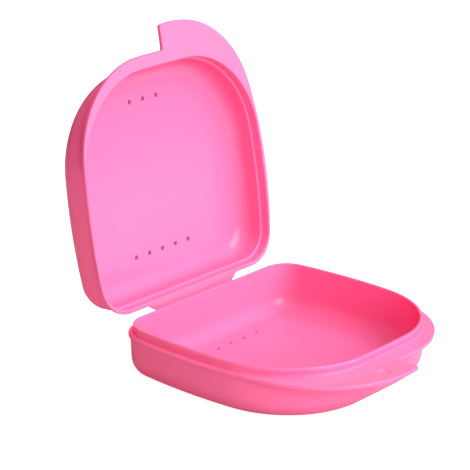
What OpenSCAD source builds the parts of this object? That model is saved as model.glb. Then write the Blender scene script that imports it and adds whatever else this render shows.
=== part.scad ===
// Denture case: a shallow D-shaped tray and a lid, moulded flat in one shot of polypropylene
// and joined along the back by a living hinge. Half of each rim grows into a thumb tab.
// Frame: +Z up, +X to the right seen from the front, -Y towards the thumb tabs, +Y towards
// the hinge. The origin is the middle of the flat foot that the tray stands on.

/* [Closed size] */
// Height of the parting plane, where the two rims meet, above the table
parting_z = 13.9; // [11:0.1:18]
// Depth of the lid from the parting plane to its outer panel
lid_depth = 13; // [11:0.1:18]
// Angle that the lid is shown opened to, from closed
lid_open = 100.5; // [0:0.5:170]

/* [Body outline] */
// Arcs [radius, turn] of half the body at the lip, from the straight hinge side to the front
body_arcs = [[8.5, 83], [168, 11.8], [30, 84], [508, 1.2]];
// The same for the lid's mouth, which reaches nearer to the hinge than the lip does
lid_arcs = [[9.6, 83], [168, 11.7], [30, 84.1], [508, 1.2]];

/* [Rim flange] */
// Arc [radius, turn] of the hinge-side corner, up to where a tab leaves the flange
corner_arc = [11.2, 79.9];
// Arcs [radius, turn] of the rest of half the flange's narrow edge
flange_arcs = [[11.2, 4.2], [192, 11.7], [30.5, 83.2], [612, 1]];
// Width of the flange's ledge behind the lip, on the hinge side
ledge_back = 2.5; // [1.6:0.1:3]
// Distance of the lid's mouth from the hinge-side rim edge, where the lid's outline starts
lid_ledge_back = 1.8; // [1.6:0.1:3]
// Thickness of the flange and of the tabs at their edge
flange_t = 1.4; // [1:0.1:2]
// Gap from each flange to the parting plane
parting_gap = 0.1; // [0.05:0.05:0.2]

/* [Thumb tabs] */
// Arcs [radius, turn] of the tab's edge from the corner, before the one that ends at its tip
tab_arcs = [[121, 24], [33.3, 69.3]];
// Heading of the tab's edge where it reaches its tip, past square to the centre line
tab_tip_heading = 187.6; // [183:0.2:192]
// Diameter of the moulded dimple in the tray's tab
dimple_d = 4.2; // [2:0.1:5]
// Depth of the dimple
dimple_depth = 0.5; // [0.2:0.1:0.8]
// Place of the dimple: left of the centre line, and in front of the hinge-side rim edge
dimple_at = [10.5, 79.5];

/* [Walls] */
// Distance of the outer wall outside the lip's outer face, at the rim
wall_out = 1; // [0.8:0.1:1.4]
// Thickness of the tray's upstanding lip
lip_t = 0.85; // [0.7:0.05:1.2]
// Height of the lip above the parting plane
lip_h = 2.8; // [2:0.1:3.5]
// Thickness of the floor and of the lid's panel
floor_t = 1.5; // [1:0.1:2]
// Draft of the outer walls, as a slope
draft_out = 0.05; // [0.02:0.01:0.08]
// Draft of the inner walls, as a slope
draft_in = 0.03; // [0.01:0.01:0.08]
// Radius of the outer bottom edge
edge_r = 6.5; // [4:0.5:7]
// Radius of the inner bottom edge
inner_r = 4.8; // [3:0.1:5.5]

/* [Lip and seat] */
// How far the snap bead stands out of the lip
bead_out = 0.25; // [0.1:0.05:0.3]
// Height of the snap bead
bead_h = 1.4; // [0.8:0.1:1.8]
// Clearance between the lip and the seat cut in the lid's rim
seat_gap = 0.45; // [0.4:0.05:0.6]
// Clearance above the lip in the seat
seat_over = 0.25; // [0.15:0.05:0.5]
// Distance of the lid's inner wall inside the lip's outer face, where the seat ends
seat_in = 0.35; // [0.2:0.05:0.8]

/* [Vents] */
// Diameter of a vent hole
vent_d = 1.6; // [1:0.1:2.5]
// Spacing of the holes in a row
vent_pitch = 6.2; // [4:0.1:8]
// Distance of the hinge-side row of five from the hinge-side rim edge
vent_back = 12.7; // [10:0.1:20]
// Distance of the front row of three from the hinge-side rim edge
vent_front = 61.4; // [50:0.1:64]

/* [Hinge] */
// Distance of the hinge line behind the rim's edge
hinge_out = 2.1; // [2:0.1:3.5]
// Half length of a hinge leaf where it leaves the rim
leaf_half = 21; // [15:0.5:26]
// Run of the leaf's sloping ends
leaf_taper = 2.2; // [1:0.1:3]
// Thickness of a hinge leaf
leaf_t = 1.2; // [0.8:0.1:1.6]
// Thickness of the hinge film
film_t = 0.4; // [0.25:0.05:0.5]
// Half width of the hinge film, from a leaf's end to the hinge line
film_half = 0.5; // [0.4:0.05:0.8]

/* [Hidden] */
$fn = 96;
pink = "#fb80bd";
rose = "#f4609f";
rim_arcs = concat([corner_arc], flange_arcs);
rim_y = advance(body_arcs) / 2 + ledge_back;
hinge_y = rim_y + hinge_out;
seat_depth = lip_h + parting_gap + seat_over;
arc_step = 5;
chord_max = 4;
edge_steps = 7;
tab_root_skip = 3;
drill_over = 1;

// ---- Outlines. A half outline runs from the hinge side round the right to the front.
// In these lists the second value is the distance v in front of the hinge-side rim edge.

// Number of straight steps that draw an arc, by its turn and by its length
function steps(r, turn) = max(2, ceil(turn / arc_step), ceil(r * turn * PI / 180 / chord_max));

// Sideways reach of a run of arcs that starts along +X
function reach(arcs, h = 0, k = 0) = k == len(arcs) ? 0 :
    arcs[k][0] * (sin(h + arcs[k][1]) - sin(h)) + reach(arcs, h + arcs[k][1], k + 1);

// Forward travel of the same run
function advance(arcs, h = 0, k = 0) = k == len(arcs) ? 0 :
    arcs[k][0] * (cos(h) - cos(h + arcs[k][1])) + advance(arcs, h + arcs[k][1], k + 1);

// Points along a run of arcs from p, heading h; grow moves the edge outwards
function arc_run(p, h, arcs, grow = 0, k = 0) = k == len(arcs) ? [] :
    let (r = arcs[k][0] + grow, t = arcs[k][1], n = steps(arcs[k][0], t),
         pts = [for (i = [1 : n]) let (g = h + t * i / n) p + r * [sin(g) - sin(h), cos(h) - cos(g)]])
    concat(pts, arc_run(pts[n - 1], h + t, arcs, grow, k + 1));

// Whole outline: its straight side is as long as brings each half back to the centre line
function outline(arcs, v, grow = 0) =
    let (corner = [-reach(arcs), v - grow],
         half = concat([corner], arc_run(corner, 0, arcs, grow)), n = len(half))
    concat(half, [for (i = [n - 2 : -1 : 0]) [-half[i][0], half[i][1]]]);

function body_outline(grow = 0) = outline(body_arcs, ledge_back, grow);

function lid_outline(grow = 0) = outline(lid_arcs, lid_ledge_back, grow);

// Crescent between the tab's edge and the flange's, up to the centre line. The flange's first
// steps from the corner are left out, so that the crescent starts blunt and not as a sliver.
function tab_outline() =
    let (start = [-reach(rim_arcs), 0], h0 = corner_arc[1], h1 = h0 + tab_arcs[0][1] + tab_arcs[1][1],
         root = start + corner_arc[0] * [sin(h0), 1 - cos(h0)],
         last = -(root[0] + reach(tab_arcs, h0)) / (sin(tab_tip_heading) - sin(h1)),
         edge = arc_run(root, h0, concat(tab_arcs, [[last, tab_tip_heading - h1]])),
         rim = arc_run(root, h0, flange_arcs))
    concat([for (i = [1 : len(edge) - 1]) edge[i]], [for (i = [len(rim) - 1 : -1 : tab_root_skip]) rim[i]]);

// Turns [x, v] into plan coordinates
function plan(pts) = [for (p = pts) [p[0], rim_y - p[1]]];

module body_shape(grow = 0) polygon(plan(body_outline(grow)));

module lid_shape(grow = 0) polygon(plan(lid_outline(grow)));

module flange_shape() polygon(plan(outline(rim_arcs, 0)));

module tab_shape() polygon(plan(tab_outline()));

// ---- Shells. A profile is a list of [height, grow]; a solid runs through its rings in order.

// Quarter round from the flat bottom up into a drafted wall, z from the outer face
function cup_profile(z0, r, top_z, top_grow, draft) = concat(
    [for (i = [0 : edge_steps]) let (a = 90 * i / edge_steps, z = z0 + r * (1 - cos(a)))
        [z, top_grow - (top_z - z) * draft - r * (1 - sin(a))]],
    [[top_z, top_grow]]);

module ring_solid(profile, is_lid = false) {
    rings = [for (p = profile)
        [for (q = plan(is_lid ? lid_outline(p[1]) : body_outline(p[1]))) [q[0], q[1], p[0]]]];
    n = len(rings[0]);
    last = len(rings) - 1;
    sides = [for (k = [0 : last - 1]) for (i = [0 : n - 1]) let (j = (i + 1) % n)
        each [[k * n + i, (k + 1) * n + i, k * n + j], [k * n + j, (k + 1) * n + i, (k + 1) * n + j]]];
    polyhedron([for (r = rings) each r],
        concat([[for (i = [0 : n - 1]) i]], sides, [[for (i = [n - 1 : -1 : 0]) last * n + i]]));
}

function reversed(list) = [for (i = [len(list) - 1 : -1 : 0]) list[i]];

// A row of vent holes through the floor, drilled past both faces
module vents(count, v) for (i = [0 : count - 1])
    translate([(i - (count - 1) / 2) * vent_pitch, rim_y - v, -drill_over])
        cylinder(d = vent_d, h = floor_t + 2 * drill_over, $fn = 24);

// ---- Poses. The lid is drawn closed, upside down like a second tray, then put on the tray.

// Turns a lid part about the hinge line from closed to the pose shown
module opened() translate([0, hinge_y, parting_z]) rotate([-lid_open, 0, 0]) translate([0, -hinge_y, 0])
    children();

// Puts a cup drawn like the tray, its outer face on z = 0, over the parting plane
module as_lid() opened() translate([0, 0, lid_depth]) mirror([0, 0, 1]) children();

// ---- Tray

module tray_shell() color(pink) {
    top = parting_z - parting_gap - flange_t;
    grow_top = wall_out - (parting_z - top) * draft_out;
    outer = cup_profile(0, edge_r, top, grow_top, draft_out);
    inner = cup_profile(floor_t, inner_r, top, -lip_t, draft_in);
    difference() {
        ring_solid(concat(outer, reversed(inner)));
        vents(5, vent_back);
        vents(3, vent_front);
    }
}

module tray_flange() color(pink) translate([0, 0, parting_z - parting_gap - flange_t])
    linear_extrude(flange_t) difference() {
        flange_shape();
        body_shape(-lip_t);
    }

module tray_lip() color(pink) translate([0, 0, parting_z - parting_gap])
    linear_extrude(lip_h + parting_gap) difference() {
        body_shape();
        body_shape(-lip_t);
    }

module tray_snap_bead() color(rose) translate([0, 0, parting_z + lip_h - bead_h])
    linear_extrude(bead_h) difference() {
        body_shape(bead_out);
        body_shape();
    }

module tray_thumb_tab() color(pink) difference() {
    translate([0, 0, parting_z - parting_gap - flange_t]) linear_extrude(flange_t)
        mirror([1, 0]) tab_shape();
    translate([-dimple_at[0], rim_y - dimple_at[1], parting_z - parting_gap - dimple_depth])
        cylinder(d = dimple_d, h = dimple_depth + drill_over, $fn = 32);
}

// ---- Hinge

// A leaf with sloping ends, from the rim's edge to the film, its top face on z = 0
module leaf() translate([0, 0, -leaf_t]) linear_extrude(leaf_t) polygon([
    [-leaf_half, rim_y], [leaf_half, rim_y],
    [leaf_half - leaf_taper, hinge_y - film_half], [leaf_taper - leaf_half, hinge_y - film_half]]);

module tray_hinge_leaf() color(pink) translate([0, 0, parting_z - parting_gap]) leaf();

// The film leaves each leaf's end square and bends round a line inside the fold
module hinge_film() color(rose) {
    middle = parting_gap + film_t / 2;
    bend_r = middle + film_half * tan(lid_open / 2);
    translate([0, hinge_y - film_half, parting_z - middle + bend_r]) rotate([0, 90, 0])
        rotate_extrude(angle = 180 - lid_open)
            translate([bend_r - film_t / 2, leaf_taper - leaf_half])
                square([film_t, 2 * (leaf_half - leaf_taper)]);
}

module lid_hinge_leaf() color(pink) opened() translate([0, 0, parting_gap]) mirror([0, 0, 1]) leaf();

// ---- Lid

module lid_shell() color(pink) {
    top = lid_depth - parting_gap - flange_t;
    seat = lid_depth - seat_depth;
    grow_top = wall_out - (lid_depth - top) * draft_out;
    outer = cup_profile(0, edge_r, top, grow_top, draft_out);
    inner = cup_profile(floor_t, inner_r, seat, -seat_in, draft_in);
    as_lid() difference() {
        ring_solid(concat(outer, [[top, seat_gap], [seat, seat_gap]], reversed(inner)), is_lid = true);
        vents(5, vent_back);
        vents(3, vent_front);
    }
}

module lid_flange() color(pink) opened() translate([0, 0, parting_gap])
    linear_extrude(flange_t) difference() {
        flange_shape();
        lid_shape(seat_gap);
    }

module lid_thumb_tab() color(pink) opened() translate([0, 0, parting_gap])
    linear_extrude(flange_t) tab_shape();

tray_shell();
tray_flange();
tray_lip();
tray_snap_bead();
tray_thumb_tab();
tray_hinge_leaf();
hinge_film();
lid_hinge_leaf();
lid_shell();
lid_flange();
lid_thumb_tab();
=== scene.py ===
import math

import bmesh
import bpy
from mathutils import Matrix, Vector


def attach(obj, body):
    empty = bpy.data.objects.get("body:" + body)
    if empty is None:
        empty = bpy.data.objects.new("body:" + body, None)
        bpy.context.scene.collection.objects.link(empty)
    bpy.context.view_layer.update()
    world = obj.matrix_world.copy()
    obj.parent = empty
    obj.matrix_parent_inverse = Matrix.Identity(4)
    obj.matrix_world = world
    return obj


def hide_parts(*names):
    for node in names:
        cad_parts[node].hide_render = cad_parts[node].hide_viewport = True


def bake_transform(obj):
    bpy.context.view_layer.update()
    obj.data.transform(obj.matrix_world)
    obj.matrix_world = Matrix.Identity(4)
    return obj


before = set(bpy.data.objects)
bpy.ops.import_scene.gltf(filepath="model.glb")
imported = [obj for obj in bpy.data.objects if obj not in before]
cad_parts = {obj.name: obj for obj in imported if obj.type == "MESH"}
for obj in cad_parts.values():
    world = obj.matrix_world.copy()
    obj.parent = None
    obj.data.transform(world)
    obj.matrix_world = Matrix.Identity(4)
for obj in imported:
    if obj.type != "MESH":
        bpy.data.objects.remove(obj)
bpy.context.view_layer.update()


# ---- Camera
# The open case is seen from its front left and a little above. The bearing, height, roll and lens
# come from a fit of the rims, the lip and the tabs to the photograph.

MM = 0.001
view_azimuth, view_elevation, view_roll = (math.radians(a) for a in (-50.498, 19.042, 1.041))
view_target = Vector((0.41, 23.87, 37.611)) * MM
view_distance = 641.183 * MM
sensor_width, focal_length = 36, 158.48


def heading(azimuth, elevation):
    """Unit vector from the object towards a camera or lamp at this bearing and height."""
    return Vector((math.sin(azimuth) * math.cos(elevation), -math.cos(azimuth) * math.cos(elevation),
                   math.sin(elevation)))


backwards = heading(view_azimuth, view_elevation)
level = Vector((math.cos(view_azimuth), math.sin(view_azimuth), 0))
upright = backwards.cross(level)
right = math.cos(view_roll) * level + math.sin(view_roll) * upright
top = math.cos(view_roll) * upright - math.sin(view_roll) * level
camera_data = bpy.data.cameras.new("camera")
camera_data.sensor_width = sensor_width
camera_data.lens = focal_length
camera = bpy.data.objects.new("camera", camera_data)
camera.matrix_world = (Matrix.Translation(view_target + backwards * view_distance)
                       @ Matrix((right, top, backwards)).transposed().to_4x4())
bpy.context.scene.collection.objects.link(camera)
bpy.context.scene.camera = camera


# ---- Tray
# Floor, walls, ledge, upright lip with its snap bead, thumb tab and hinge leaf are one injection
# moulding in pink polypropylene. It is drawn as the mould is cut: a wall section swept round the D
# shaped outline, a plate edge swept round the rim, and the flats between them filled in.

# Outlines, in millimetres. A run of arcs (radius, turn in degrees) goes from the straight hinge side
# to the front, and v is the distance in front of the hinge-side rim edge.
rim_y = 37.303
body_arcs = [(8.5, 83), (168, 11.8), (30, 84), (508, 1.2)]
ledge_back = 2.5
corner_arc = (11.2, 79.9)
rim_arcs = [corner_arc, (11.2, 4.2), (192, 11.7), (30.5, 83.2), (612, 1)]
tab_arcs = [(121, 24), (33.3, 69.3)]
tab_tip_heading = 187.6
leaf_half, leaf_taper, leaf_reach = 21, 2.2, 1.6
leaf_root_round, leaf_corner_round = 0.5, 0.4
tab_corner_round, rim_step_round = 0.4, 0.5
arc_step, chord = 4, 0.9

# Heights and thicknesses, in millimetres. The walls lean outwards by their draft, and grow is how far
# a wall stands outside the body outline.
parting_z, parting_gap = 13.9, 0.1
floor_t, flange_t = 1.5, 1.4
wall_grow, wall_draft, outer_radius = 0.925, 0.05, 6.5
inner_draft, inner_radius = 0.03, 4.8
edge_round, edge_under = 0.35, 0.5
lip_t, lip_top, lip_inner_round, lip_outer_round, lip_root = 0.85, 16.7, 0.3, 0.35, 0.5
bead_out, bead_z, bead_base, bead_blend = 0.2, 15.6, 14.9, 0.8
flat_run, edge_run = 0.6, 0.1

# Five vents stand in a row near the hinge and three near the front, and a dimple in the tab.
vents_at_hinge, vents_in_front = 5, 3
vent_radius, vent_pitch, vent_back, vent_front, vent_round = 0.8, 6.2, 12.7, 61.4, 0.06
dimple_radius, dimple_depth, dimple_x, dimple_v = 2.1, 0.4, 10.5, 79.5
dimple_mouth, dimple_rim_round, dish_slope, dish_round, dish_run = 0.3, 0.25, 0.9, 1.0, 0.7


def arc_run(start, turned, arcs):
    """Points along a run of arcs that starts at start and has turned by that many degrees from +X."""
    points = [start]
    for radius, turn in arcs:
        x, v = points[-1]
        count = math.ceil(max(turn / arc_step, radius * math.radians(turn) / chord))
        for k in range(1, count + 1):
            a, b = math.radians(turned), math.radians(turned + turn * k / count)
            points.append((x + radius * (math.sin(b) - math.sin(a)),
                           v + radius * (math.cos(a) - math.cos(b))))
        turned += turn
    return points


def half_outline(arcs, v):
    """Half an outline, from its hinge-side corner to the centre line at the front."""
    reach = arc_run((0, 0), 0, arcs)[-1][0]
    return arc_run((-reach, v), 0, arcs)


def rounded(path, corner_step=9, fewest=4):
    """Corners (a, b, radius) joined by straight lines, each drawn as an arc where it has a radius."""
    points = []
    for k, (a, b, radius) in enumerate(path):
        here = Vector((a, b))
        if not radius:
            points.append(here)
            continue
        before, after = Vector(path[k - 1][:2]), Vector(path[(k + 1) % len(path)][:2])
        come, go = (before - here).normalized(), (after - here).normalized()
        half = come.angle(go) / 2
        centre = here + (come + go).normalized() * (radius / math.sin(half))
        spoke = here + come * (radius / math.tan(half)) - centre
        turn = math.copysign(math.pi - 2 * half, come.cross(go) * -1)
        count = max(fewest, math.ceil(math.degrees(abs(turn)) / corner_step))
        points += [centre + Matrix.Rotation(turn * i / count, 2) @ spoke for i in range(count + 1)]
    return points


def outline_loop(left, right, back=()):
    """Closed loop seen from above: hinge side, left half to the front, right half back again."""
    path = list(back)
    path += [(-x, v, *(radius or [0])) for x, v, *radius in left]
    path += [(x, v, *(radius or [0])) for x, v, *radius in reversed(right)]
    return [(x, rim_y - v) for x, v in rounded(path)]


def line_object(name, lines, closed):
    """Curve object that holds flat lines for the moulding tree to sweep."""
    data = bpy.data.curves.new(name, "CURVE")
    data.dimensions = "3D"
    for points in lines:
        spline = data.splines.new("POLY")
        spline.points.add(len(points) - 1)
        for point, (a, b) in zip(spline.points, points):
            point.co = (a, b, 0, 1)
        spline.use_cyclic_u = closed
    drawn = bpy.data.objects.new(name, data)
    bpy.context.scene.collection.objects.link(drawn)
    return drawn


def section_object(name, lines):
    """Section for a sweep: each corner is (growth outwards, height, radius)."""
    return line_object(name, [[(a, -b) for a, b in rounded(line)] for line in lines], False)


def add(tree, kind, inputs=None, **settings):
    """Adds a node; each of its inputs is a value or the output that feeds it."""
    new = tree.nodes.new(kind)
    for name, value in settings.items():
        setattr(new, name, value)
    for key, value in (inputs or {}).items():
        if isinstance(value, bpy.types.NodeSocket):
            tree.links.new(value, new.inputs[key])
        else:
            new.inputs[key].default_value = value
    return new


# The moulding tree: tray and lid are the same construction with other sizes.
moulding = bpy.data.node_groups.new("case_moulding", "GeometryNodeTree")
moulding.interface.new_socket("Moulding", in_out="OUTPUT", socket_type="NodeSocketGeometry")
lines_to_sweep = ("Body outline", "Wall section", "Mouth section", "Rim outline", "Edge section",
                  "Vent section", "Dimple section")
for kind, names in (
        ("Object", lines_to_sweep),
        ("Float", ("Floor thickness", "Flange underside", "Flange top", "Vent radius", "Vent pitch",
                   "Hinge-side row", "Front row", "Dimple radius", "Dimple depth", "Dimple x", "Dimple y")),
        ("Int", ("Dimples",)),
        ("Material", ("Thin plastic", "Mouth plastic", "Ledge plastic with painted shade", "Bore plastic"))):
    for name in names:
        moulding.interface.new_socket(name, in_out="INPUT", socket_type="NodeSocket" + kind)
given = moulding.nodes.new("NodeGroupInput").outputs
line = {name: add(moulding, "GeometryNodeObjectInfo", {"Object": given[name]}).outputs["Geometry"]
        for name in lines_to_sweep}


def swept(path, section):
    """Sweeps a section along a level path, its first axis outwards and its second downwards."""
    level_path = add(moulding, "GeometryNodeSetCurveNormal", {"Curve": path}, mode="Z_UP")
    return add(moulding, "GeometryNodeCurveToMesh",
               {"Curve": level_path.outputs[0], "Profile Curve": section}).outputs[0]


def rings_at(points, radius):
    """A circle round each point, for the holes that pierce or dent the moulding."""
    ring = add(moulding, "GeometryNodeCurvePrimitiveCircle", {"Resolution": 28, "Radius": radius})
    rings = add(moulding, "GeometryNodeInstanceOnPoints", {"Points": points, "Instance": ring.outputs[0]})
    return add(moulding, "GeometryNodeRealizeInstances", {"Geometry": rings.outputs[0]}).outputs[0]


# Points for the two rows of vents, each centred on the case, and for the dimple.
step = add(moulding, "ShaderNodeCombineXYZ", {"X": given["Vent pitch"]})
rows = add(moulding, "GeometryNodeJoinGeometry")
for count, distance in ((vents_at_hinge, "Hinge-side row"), (vents_in_front, "Front row")):
    first_x = add(moulding, "ShaderNodeMath", {0: given["Vent pitch"], 1: (1 - count) / 2},
                  operation="MULTIPLY")
    first_at = add(moulding, "ShaderNodeCombineXYZ", {"X": first_x.outputs[0], "Y": given[distance]})
    row = add(moulding, "GeometryNodeMeshLine",
              {"Count": count, "Start Location": first_at.outputs[0], "Offset": step.outputs[0]})
    moulding.links.new(row.outputs[0], rows.inputs[0])
dimple_at = add(moulding, "ShaderNodeCombineXYZ", {"X": given["Dimple x"], "Y": given["Dimple y"]})
dents = add(moulding, "GeometryNodeMeshLine",
            {"Count": given["Dimples"], "Start Location": dimple_at.outputs[0]})

# The curved skin. Each part of it gets its plastic before they are joined.
skin = add(moulding, "GeometryNodeJoinGeometry")
for part, plastic in (
        (swept(line["Body outline"], line["Wall section"]), "Thin plastic"),
        (swept(line["Body outline"], line["Mouth section"]), "Mouth plastic"),
        (swept(line["Rim outline"], line["Edge section"]), "Thin plastic"),
        (swept(rings_at(dents.outputs[0], given["Dimple radius"]), line["Dimple section"]), "Ledge plastic with painted shade"),
        (swept(rings_at(rows.outputs[0], given["Vent radius"]), line["Vent section"]), "Bore plastic")):
    clad = add(moulding, "GeometryNodeSetMaterial", {"Geometry": part, "Material": given[plastic]})
    moulding.links.new(clad.outputs[0], skin.inputs[0])

# The flats: the skin's open edges at each level are filled, and so the vents and the dimple stay open.
position = add(moulding, "GeometryNodeInputPosition").outputs[0]
height = add(moulding, "ShaderNodeSeparateXYZ", {0: position}).outputs["Z"]
neighbours = add(moulding, "GeometryNodeInputMeshEdgeNeighbors").outputs[0]
is_open = add(moulding, "FunctionNodeCompare", {2: neighbours, 3: 1}, data_type="INT", operation="EQUAL")
dish = add(moulding, "ShaderNodeMath", {0: given["Flange top"], 1: given["Dimple depth"]},
           operation="SUBTRACT").outputs[0]
closed_skin = add(moulding, "GeometryNodeJoinGeometry")
moulding.links.new(skin.outputs[0], closed_skin.inputs[0])
# The ledge flats and the dimple take the ledge plastic, whose darker colour is painted shade.
for flat, plastic in ((0.0, "Thin plastic"), (given["Floor thickness"], "Thin plastic"),
                      (given["Flange underside"], "Ledge plastic with painted shade"), (given["Flange top"], "Ledge plastic with painted shade"),
                      (dish, "Ledge plastic with painted shade")):
    at_flat = add(moulding, "FunctionNodeCompare", {0: height, 1: flat, "Epsilon": 0.002},
                  data_type="FLOAT", operation="EQUAL")
    both = add(moulding, "FunctionNodeBooleanMath", {0: is_open.outputs[0], 1: at_flat.outputs[0]})
    edges = add(moulding, "GeometryNodeMeshToCurve", {"Mesh": skin.outputs[0], "Selection": both.outputs[0]})
    face = add(moulding, "GeometryNodeFillCurve", {"Curve": edges.outputs[0]}, mode="TRIANGLES")
    lift = add(moulding, "ShaderNodeCombineXYZ", {"Z": flat})
    raised = add(moulding, "GeometryNodeTransform",
                 {"Geometry": face.outputs[0], "Translation": lift.outputs[0]})
    clad = add(moulding, "GeometryNodeSetMaterial",
               {"Geometry": raised.outputs[0], "Material": given[plastic]})
    moulding.links.new(clad.outputs[0], closed_skin.inputs[0])
merged = add(moulding, "GeometryNodeMergeByDistance", {"Geometry": closed_skin.outputs[0], "Distance": 0.003})
realised = add(moulding, "GeometryNodeRealizeInstances", {"Geometry": merged.outputs[0]})
moulding.links.new(realised.outputs[0], add(moulding, "NodeGroupOutput").inputs[0])


def finished(piece, mesh, sharp=30):
    """Gives a piece its closed mesh: faces outwards, smooth, with sharp edges where the faces turn."""
    work = bmesh.new()
    work.from_mesh(mesh)
    bmesh.ops.recalc_face_normals(work, faces=work.faces)
    for face in work.faces:
        face.smooth = True
    for edge in work.edges:
        edge.smooth = len(edge.link_faces) == 2 and edge.calc_face_angle(0) < math.radians(sharp)
    work.to_mesh(mesh)
    work.free()
    piece.data = mesh


def moulded(name, sizes, placement):
    """Runs the moulding tree with these sizes and keeps its result as a plain mesh, in metres."""
    piece = bpy.data.objects.new(name, bpy.data.meshes.new(name))
    bpy.context.scene.collection.objects.link(piece)
    modifier = piece.modifiers.new("moulding", "NODES")
    modifier.node_group = moulding
    for socket in moulding.interface.items_tree:
        if socket.in_out == "INPUT":
            modifier[socket.identifier] = sizes[socket.name]
    bpy.context.view_layer.update()
    mesh = bpy.data.meshes.new_from_object(piece.evaluated_get(bpy.context.evaluated_depsgraph_get()))
    piece.modifiers.remove(modifier)
    mesh.transform(placement)
    finished(piece, mesh)
    for value in sizes.values():
        if isinstance(value, bpy.types.Object):
            bpy.data.objects.remove(value)
    return piece


def linear(code):
    """sRGB hex to the linear colour that a shader socket takes."""
    parts = [int(code[i:i + 2], 16) / 255 for i in (1, 3, 5)]
    return (*[c / 12.92 if c <= 0.04045 else ((c + 0.055) / 1.055) ** 2.4 for c in parts], 1)


def polypropylene(name, colour, glow, share, roughness):
    """Injection moulded polypropylene: glossy and a little waxy. Share of its light comes through from
    behind, in the colour glow, which makes thin walls look deep and warm where they turn from the lamp.
    The tint drifts with the flow of the melt, and the mould's polish leaves a faint orange peel."""
    flow_size, haze_size, peel_size = 30 * MM, 4.5 * MM, 1.2 * MM
    peel_depth = 0.05 * MM
    tint_drift, gloss_drift = 0.01, 0.02
    low, high = 0.3, 0.7  # nearly all of the noise lies between these
    material = bpy.data.materials.new(name)
    material.use_nodes = True
    tree = material.node_tree
    tree.nodes.clear()
    on_piece = add(tree, "ShaderNodeTexCoord").outputs["Object"]
    flow = add(tree, "ShaderNodeTexNoise", {"Vector": on_piece, "Scale": 1 / flow_size, "Detail": 3.0,
               "Roughness": 0.5})
    tint = add(tree, "ShaderNodeMapRange", {"Value": flow.outputs[0], "From Min": low, "From Max": high,
               "To Min": 1 - tint_drift, "To Max": 1 + tint_drift})
    base = add(tree, "ShaderNodeVectorMath", {0: linear(colour)[:3], "Scale": tint.outputs[0]},
               operation="SCALE")
    haze = add(tree, "ShaderNodeTexNoise", {"Vector": on_piece, "Scale": 1 / haze_size, "Detail": 4.0})
    gloss = add(tree, "ShaderNodeMapRange", {"Value": haze.outputs[0], "From Min": low, "From Max": high,
                "To Min": roughness - gloss_drift, "To Max": roughness + gloss_drift})
    peel = add(tree, "ShaderNodeTexNoise", {"Vector": on_piece, "Scale": 1 / peel_size, "Detail": 2.0})
    bump = add(tree, "ShaderNodeBump", {"Height": peel.outputs[0], "Strength": 0.05, "Distance": peel_depth})
    surface = add(tree, "ShaderNodeBsdfPrincipled", {
        "Base Color": base.outputs[0], "Roughness": gloss.outputs[0], "IOR": 1.49, "Normal": bump.outputs[0]})
    through = add(tree, "ShaderNodeBsdfTranslucent", {"Color": linear(glow)})
    both = add(tree, "ShaderNodeMixShader", {0: share, 1: surface.outputs[0], 2: through.outputs[0]})
    add(tree, "ShaderNodeOutputMaterial", {"Surface": both.outputs[0]})
    return material


warm_glow = "#FF5298"
# Walls, floor and lip: a third of the light comes through, so the shaded walls glow warm red.
thin_pink = polypropylene("thin_pink_polypropylene", "#FD7CB2", warm_glow, 0.32, 0.1)
# Ledges and tabs: less light comes through, and they look paler and more solid. This copy of the plastic is
# painted shade: its darker, less blue colour stands in for shade on these well-lit flats.
ledge_painted_shade_pink = polypropylene("ledge_painted_shade_polypropylene", "#FD76A2", warm_glow, 0.14, 0.1)
# The vents' walls, cored by pins, have a duller surface. Their darker mauve, with no light coming through, is
# painted shade inside the holes: mauve specks without gloss.
bore_painted_shade_pink = polypropylene("bore_painted_shade_polypropylene", "#E070AE", warm_glow, 0.0, 0.45)


def wall_lines(underside, inner_grow, inner_top):
    """Outer wall from the flange down to the foot, and inner wall from the floor up."""
    foot = wall_grow - underside * wall_draft
    corner = inner_grow - (inner_top - floor_t) * inner_draft
    return [[(wall_grow, underside, 0), (foot, 0, outer_radius), (foot - outer_radius - flat_run, 0, 0)],
            [(corner - inner_radius - flat_run, floor_t, 0), (corner, floor_t, inner_radius),
             (inner_grow, inner_top, 0)]]


def edge_lines(underside, upper, radius):
    """Edge of the flange, rounded above and below."""
    return [[(-edge_under - edge_run, underside, 0), (0, underside, edge_under), (0, upper, radius),
             (-radius - edge_run, upper, 0)]]


def through_hole(depth, radius):
    """Wall of a hole, rounded at both mouths. It widens by radius, so that the round fits."""
    bend = radius * 0.8
    return [[(radius, 0, 0), (0, 0, bend), (0, depth, bend), (radius, depth, 0)]]


def dished(upper):
    """Soft side of the dimple, from the flange top down to its flat bottom."""
    bottom = upper - dimple_depth
    return [[(dimple_mouth, upper, 0), (0, upper, dimple_rim_round), (-dish_slope, bottom, dish_round),
             (-dish_slope - dish_run, bottom, 0)]]


hinge_back = [(leaf_half, 0, leaf_root_round), (leaf_half - leaf_taper, -leaf_reach, leaf_corner_round),
              (leaf_taper - leaf_half, -leaf_reach, leaf_corner_round), (-leaf_half, 0, leaf_root_round)]
plain_half = half_outline(rim_arcs, 0)
plain_end = (*plain_half[-1], rim_step_round)

# The tab's crescent leaves the rim at the end of the corner arc. Its last arc is as large as brings
# its tip to the centre line.
corner_radius, corner_turn = corner_arc[0], math.radians(corner_arc[1])
tab_root = (plain_half[0][0] + corner_radius * math.sin(corner_turn),
            corner_radius * (1 - math.cos(corner_turn)))
turned = corner_arc[1] + sum(turn for _, turn in tab_arcs)
before_tip = arc_run(tab_root, corner_arc[1], tab_arcs)[-1]
tip_radius = -before_tip[0] / (math.sin(math.radians(tab_tip_heading)) - math.sin(math.radians(turned)))
tab_half = arc_run(plain_half[0], 0, [corner_arc, *tab_arcs, (tip_radius, tab_tip_heading - turned)])
tab_end = (*tab_half[-1], tab_corner_round)

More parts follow.
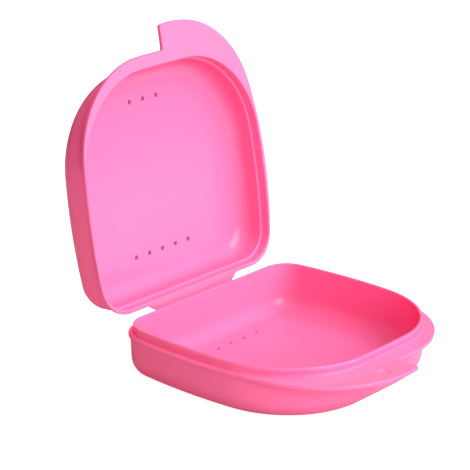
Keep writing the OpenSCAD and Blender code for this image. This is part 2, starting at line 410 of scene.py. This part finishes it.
shared_sizes = {
    "Floor thickness": floor_t, "Vent radius": vent_radius, "Vent pitch": vent_pitch,
    "Hinge-side row": rim_y - vent_back, "Front row": rim_y - vent_front, "Dimple radius": dimple_radius,
    "Dimple depth": dimple_depth, "Dimple x": -dimple_x, "Dimple y": rim_y - dimple_v,
    "Thin plastic": thin_pink, "Ledge plastic with painted shade": ledge_painted_shade_pink, "Bore plastic": bore_painted_shade_pink}
underside = parting_z - parting_gap - flange_t
ledge_top = underside + flange_t
join_z = underside - 1  # wall and lip sections meet inside, away from the level that is filled
body_half = half_outline(body_arcs, ledge_back)
tray = moulded("tray_moulding", {
    **shared_sizes, "Flange underside": underside, "Flange top": ledge_top, "Dimples": 1,
    "Body outline": line_object("tray_body", [outline_loop(body_half, body_half[:-1])], True),
    "Wall section": section_object("tray_wall", wall_lines(underside, -lip_t, join_z)),
    "Mouth plastic": thin_pink, "Mouth section": section_object("tray_lip", [[
        (-lip_t, join_z, 0), (-lip_t, lip_top, lip_inner_round), (bead_out, lip_top, lip_outer_round),
        (bead_out, bead_z, bead_blend), (0, bead_base, bead_blend), (0, ledge_top, lip_root),
        (flat_run, ledge_top, 0)]]),
    "Rim outline": line_object("tray_rim", [outline_loop(
        [*tab_half[:-1], tab_end], [*plain_half[:-1], plain_end], hinge_back)], True),
    "Edge section": section_object("tray_edge", edge_lines(underside, ledge_top, edge_round)),
    "Vent section": section_object("tray_vents", through_hole(floor_t, vent_round)),
    "Dimple section": section_object("tray_dimple", dished(ledge_top)),
}, Matrix.Scale(MM, 4))
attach(tray, "tray")
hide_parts("tray_shell", "tray_flange", "tray_lip", "tray_snap_bead", "tray_thumb_tab",
            "tray_hinge_leaf")


# ---- Lid
# The lid comes from the same mould, as a second shallow tray with its own mouth: a stepped seat that
# drops over the tray's lip. Its thumb tab is on the other half of the rim, so that the two can be
# pulled apart. It is drawn upside down, then put over the tray and opened about the hinge line.

lid_depth, lid_open = 13, 100.5
lid_arcs = [(9.6, 83), (168, 11.7), (30, 84.1), (508, 1.2)]
lid_ledge_back = 1.8
lid_edge_round = 0.12
seat_z, seat_gap, seat_in = 9.85, 0.45, 0.35
seat_inner_round, seat_corner_round, seat_mouth_round, seat_run = 0.15, 0.1, 0.3, 0.4
hinge_out = 2.1
hinge_line = Vector((0, rim_y + hinge_out, parting_z))

# The seat's wall is thin, where the lid is stepped to take the lip: it is lit through. Its cooler pink, and
# the cooler pink lit through it, are painted light: a paler sheen that the wall catches, put into its colour.
seat_painted_light_pink = polypropylene("seat_painted_light_polypropylene", "#FC7DB0", "#FF78C8", 0.3, 0.1)

opened = (Matrix.Translation(hinge_line) @ Matrix.Rotation(math.radians(-lid_open), 4, "X")
          @ Matrix.Translation(-hinge_line))
over_tray = Matrix.Translation((0, 0, parting_z + lid_depth)) @ Matrix.Scale(-1, 4, (0, 0, 1))
lid_underside = lid_depth - parting_gap - flange_t
mouth = lid_underside + flange_t
seat_join = seat_z - 0.5
lid_half = half_outline(lid_arcs, lid_ledge_back)
lid = moulded("lid_moulding", {
    **shared_sizes, "Flange underside": lid_underside, "Flange top": mouth, "Dimples": 0,
    "Body outline": line_object("lid_body", [outline_loop(lid_half, lid_half[:-1])], True),
    "Wall section": section_object("lid_wall", wall_lines(lid_underside, -seat_in, seat_join)),
    "Mouth plastic": seat_painted_light_pink, "Mouth section": section_object("lid_seat", [[
        (-seat_in, seat_join, 0), (-seat_in, seat_z, seat_inner_round),
        (seat_gap, seat_z, seat_corner_round), (seat_gap, mouth, seat_mouth_round),
        (seat_gap + seat_run, mouth, 0)]]),
    "Rim outline": line_object("lid_rim", [outline_loop(
        [*plain_half[:-1], plain_end], [*tab_half[:-1], tab_end], hinge_back)], True),
    "Edge section": section_object("lid_edge", edge_lines(lid_underside, mouth, lid_edge_round)),
    "Vent section": section_object("lid_vents", through_hole(floor_t, vent_round)),
    "Dimple section": section_object("lid_dimple", dished(mouth)),
}, Matrix.Scale(MM, 4) @ opened @ over_tray)
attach(lid, "lid")
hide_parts("lid_hinge_leaf", "lid_shell", "lid_flange", "lid_thumb_tab")


# ---- Hinge web
# The two leaves are joined by a web of the same plastic, moulded a third of a millimetre thin so that it
# folds. It grows thicker into each leaf on its outer side, and is drawn to join both at the open pose.

web_t, web_below, web_half, web_root = 0.36, 0.3, 18.5, 0.35
web_flare, web_steps, web_bevel = 0.5, 40, 0.12

# Folding has taken some of the gloss off the web. Its deeper pink, a little cooler than the ledges and with
# less light through, is painted shade in the fold.
flexed_web_painted_shade_pink = polypropylene("flexed_web_painted_shade_polypropylene", "#FD76A6", warm_glow, 0.12, 0.2)

# Its middle line is an arc that leaves both leaves straight, with a short root inside each.
leaf_end = rim_y + leaf_reach
web_turn = math.radians(180 - lid_open)
web_radius = web_below + (hinge_line.y - leaf_end) * math.tan(math.radians(lid_open / 2))
web_centre = (leaf_end, parting_z - web_below + web_radius)
web_line = []
for k in range(web_steps + 1):
    a = web_turn * k / web_steps
    web_line.append((web_centre[0] + web_radius * math.sin(a), web_centre[1] - web_radius * math.cos(a), a))
first, last = web_line[0], web_line[-1]
web_line.insert(0, (first[0] - web_root, first[1], 0))
web_line.append((last[0] + web_root * math.cos(web_turn), last[1] + web_root * math.sin(web_turn), web_turn))

# Four columns of points round its section, the outer two drawn in by the bevel of the ends.
work = bmesh.new()
columns = []
for x, thin in ((-web_half, web_bevel), (web_bevel - web_half, 0),
                (web_half - web_bevel, 0), (web_half, web_bevel)):
    inner, outer = [], []
    for y, z, a in web_line:
        flare = web_flare * abs(2 * a / web_turn - 1) ** 3
        for side, offset in ((inner, web_t / 2 - thin), (outer, thin - web_t / 2 - flare)):
            at = Vector((x, y - offset * math.sin(a), z + offset * math.cos(a))) * MM
            side.append(work.verts.new(at))
    columns.append(inner + outer[::-1])
for one, other in zip(columns, columns[1:]):
    for k in range(len(one)):
        work.faces.new((one[k - 1], one[k], other[k], other[k - 1]))
for column in (columns[0], columns[-1]):
    for k in range(len(web_line) - 1):
        work.faces.new((column[k], column[k + 1], column[-k - 2], column[-k - 1]))
web_mesh = bpy.data.meshes.new("hinge_web")
work.to_mesh(web_mesh)
work.free()
web_mesh.materials.append(flexed_web_painted_shade_pink)
web = bpy.data.objects.new("hinge_web", web_mesh)
bpy.context.scene.collection.objects.link(web)
finished(web, web_mesh)
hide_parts("hinge_film")
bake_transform(web)


# ---- Stage
# A plain white table in an even white room. The camera sees both as white, gloss mirrors only a little
# of them, and the light on the case comes from four soft boxes, so that its colours are not washed out.

room_in_gloss, room_light = 0.1, 0.05
table_glow, table_paint, table_reach = 0.9, 0.5, 1.2


def looked_at(tree):
    """1 for the camera's own rays, room_in_gloss for mirrored and clear ones, and 0 for light."""
    path = add(tree, "ShaderNodeLightPath").outputs
    mirrored = add(tree, "ShaderNodeMath", {0: path["Is Glossy Ray"], 1: path["Is Transmission Ray"]},
                   operation="MAXIMUM")
    faint = add(tree, "ShaderNodeMath", {0: mirrored.outputs[0], 1: room_in_gloss}, operation="MULTIPLY")
    looked = add(tree, "ShaderNodeMath", {0: path["Is Camera Ray"], 1: faint.outputs[0]}, operation="MAXIMUM")
    return looked.outputs[0]


# White matt table: its paint takes the case's shadow, and its glow lifts it to white for the camera.
white_table = bpy.data.materials.new("white_table")
white_table.use_nodes = True
tree = white_table.node_tree
tree.nodes.clear()
strength = add(tree, "ShaderNodeMath", {0: looked_at(tree), 1: table_glow}, operation="MULTIPLY")
glow = add(tree, "ShaderNodeEmission", {"Color": (1, 1, 1, 1), "Strength": strength.outputs[0]})
paint = add(tree, "ShaderNodeBsdfDiffuse", {"Color": (table_paint, table_paint, table_paint, 1)})
both = add(tree, "ShaderNodeAddShader", {0: glow.outputs[0], 1: paint.outputs[0]})
add(tree, "ShaderNodeOutputMaterial", {"Surface": both.outputs[0]})

table_mesh = bpy.data.meshes.new("table")
table_mesh.from_pydata([(-table_reach, -table_reach, 0), (table_reach, -table_reach, 0),
                        (table_reach, table_reach, 0), (-table_reach, table_reach, 0)], [], [(0, 1, 2, 3)])
table_mesh.materials.append(white_table)
table = bpy.data.objects.new("table", table_mesh)
bpy.context.scene.collection.objects.link(table)


def soft_box(name, azimuth, elevation, width, height, energy, mirrored=True):
    """Area lamp a metre from the case, facing it. Only the front one leaves highlights."""
    data = bpy.data.lights.new(name, "AREA")
    data.shape = "RECTANGLE"
    data.size, data.size_y, data.energy = width, height, energy
    lamp = bpy.data.objects.new(name, data)
    out = heading(math.radians(azimuth), math.radians(elevation))
    facing = out.to_track_quat("Z", "Y").to_matrix().to_4x4()
    lamp.matrix_world = Matrix.Translation(view_target + out) @ facing
    lamp.visible_glossy = mirrored
    bpy.context.scene.collection.objects.link(lamp)


soft_box("front_soft_box", 12, 32, 1.0, 0.8, 12.5)
soft_box("low_soft_box", -20, 14, 0.8, 0.8, 9.5, mirrored=False)
soft_box("top_soft_box", 60, 65, 1.2, 1.2, 12.3, mirrored=False)
soft_box("left_soft_box", -40, 65, 1.2, 1.2, 2.2, mirrored=False)

world = bpy.data.worlds.new("white_room")
world.use_nodes = True
sky = world.node_tree
sky.nodes.clear()
strength = add(sky, "ShaderNodeMapRange", {"Value": looked_at(sky), "To Min": room_light, "To Max": 1.0})
room = add(sky, "ShaderNodeBackground", {"Color": (1, 1, 1, 1), "Strength": strength.outputs[0]})
add(sky, "ShaderNodeOutputWorld", {"Surface": room.outputs[0]})
bpy.context.scene.world = world
bpy.context.scene.view_settings.view_transform = "Standard"
